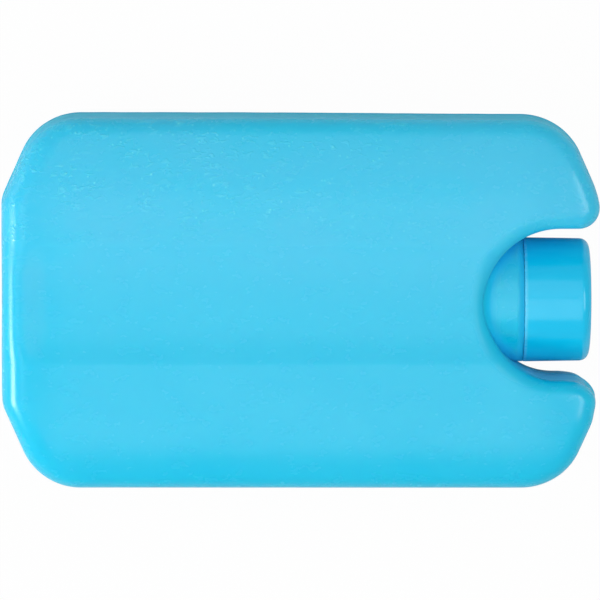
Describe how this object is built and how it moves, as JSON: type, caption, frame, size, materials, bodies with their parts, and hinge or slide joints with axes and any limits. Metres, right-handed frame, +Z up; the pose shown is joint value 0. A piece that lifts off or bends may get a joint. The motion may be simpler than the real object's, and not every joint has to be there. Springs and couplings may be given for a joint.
{
  "type": "reusable ice pack",
  "caption": "Hard-shell freezer block for a cool bag: a flat blow-moulded bottle with cut corners, a central channel and a press-on cap in a notch.",
  "frame": {"origin": "under the middle of the pack as it lies flat", "axes": "+X along the length towards the cap, +Z up, square to the faces"},
  "size_m": [0.15, 0.094, 0.036],
  "materials": {
    "bottle_plastic": "sky blue blow-moulded polyethylene, satin, grained on one third of the upper face",
    "cap_plastic": "sky blue moulded polyethylene, smooth and glossy"
  },
  "bodies": {
    "root": {"bottle": "bottle_plastic", "cap": "cap_plastic"}
  },
  "joints": []
}
